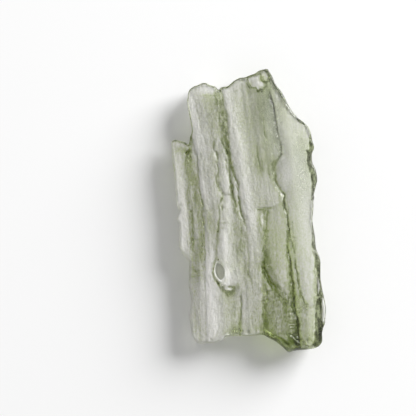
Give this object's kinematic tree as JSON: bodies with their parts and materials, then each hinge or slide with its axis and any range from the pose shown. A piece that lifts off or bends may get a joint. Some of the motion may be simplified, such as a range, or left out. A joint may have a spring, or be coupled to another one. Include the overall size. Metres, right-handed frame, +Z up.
{
  "type": "moldavite",
  "caption": "Slab-like fragment of pale green natural glass with lengthwise flutes, an opened bubble channel pierced at its end, chipped edges and a thick dark edge.",
  "frame": {"origin": "on the surface the fragment lies on, under the middle of its bounding box", "axes": "+Y along the flutes towards the pointed end, +Z up out of the fluted face, +X towards the thick edge"},
  "size_m": [0.0232, 0.0426, 0.0048],
  "materials": {
    "tektite_glass": "pale green natural glass with an etched, satin skin"
  },
  "bodies": {
    "root": {"moldavite": "tektite_glass"}
  },
  "joints": []
}
